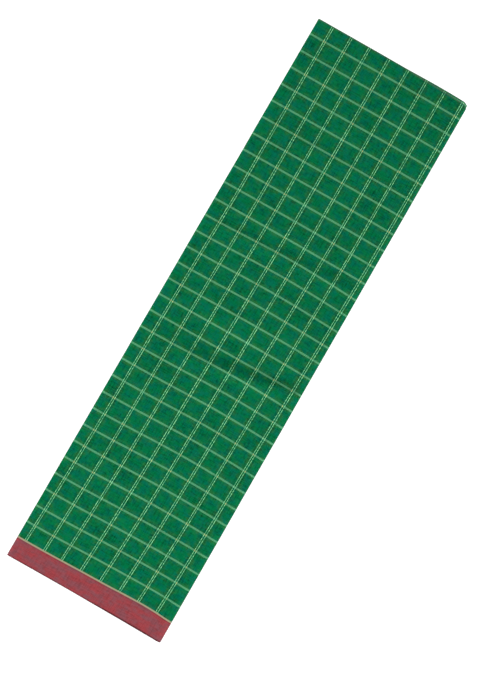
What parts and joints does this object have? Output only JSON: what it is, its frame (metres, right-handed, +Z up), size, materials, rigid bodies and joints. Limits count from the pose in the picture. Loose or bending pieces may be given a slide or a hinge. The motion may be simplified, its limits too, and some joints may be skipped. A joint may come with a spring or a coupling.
{
  "type": "folded saree",
  "caption": "Handloom cotton saree folded into a long flat bundle, checked field outside and a plain woven border across one end.",
  "frame": {"origin": "on the surface that the bundle lies on, under the middle of its bounding box", "axes": "+X across the bundle towards the spine (the last fold), +Y along it from the border end to the fold end, +Z up"},
  "size_m": [0.1672, 0.59, 0.0188],
  "materials": {
    "green_check_cloth": "plain-woven green cotton with pale single stripes across and pale double stripes along, matt with a slight sheen",
    "maroon_border_cloth": "plain-woven maroon cotton border with a pale line where it meets the field, matt"
  },
  "bodies": {
    "root": {"outer_field": "green_check_cloth", "outer_border": "maroon_border_cloth", "inner_field": "green_check_cloth", "inner_border": "maroon_border_cloth"}
  },
  "joints": []
}
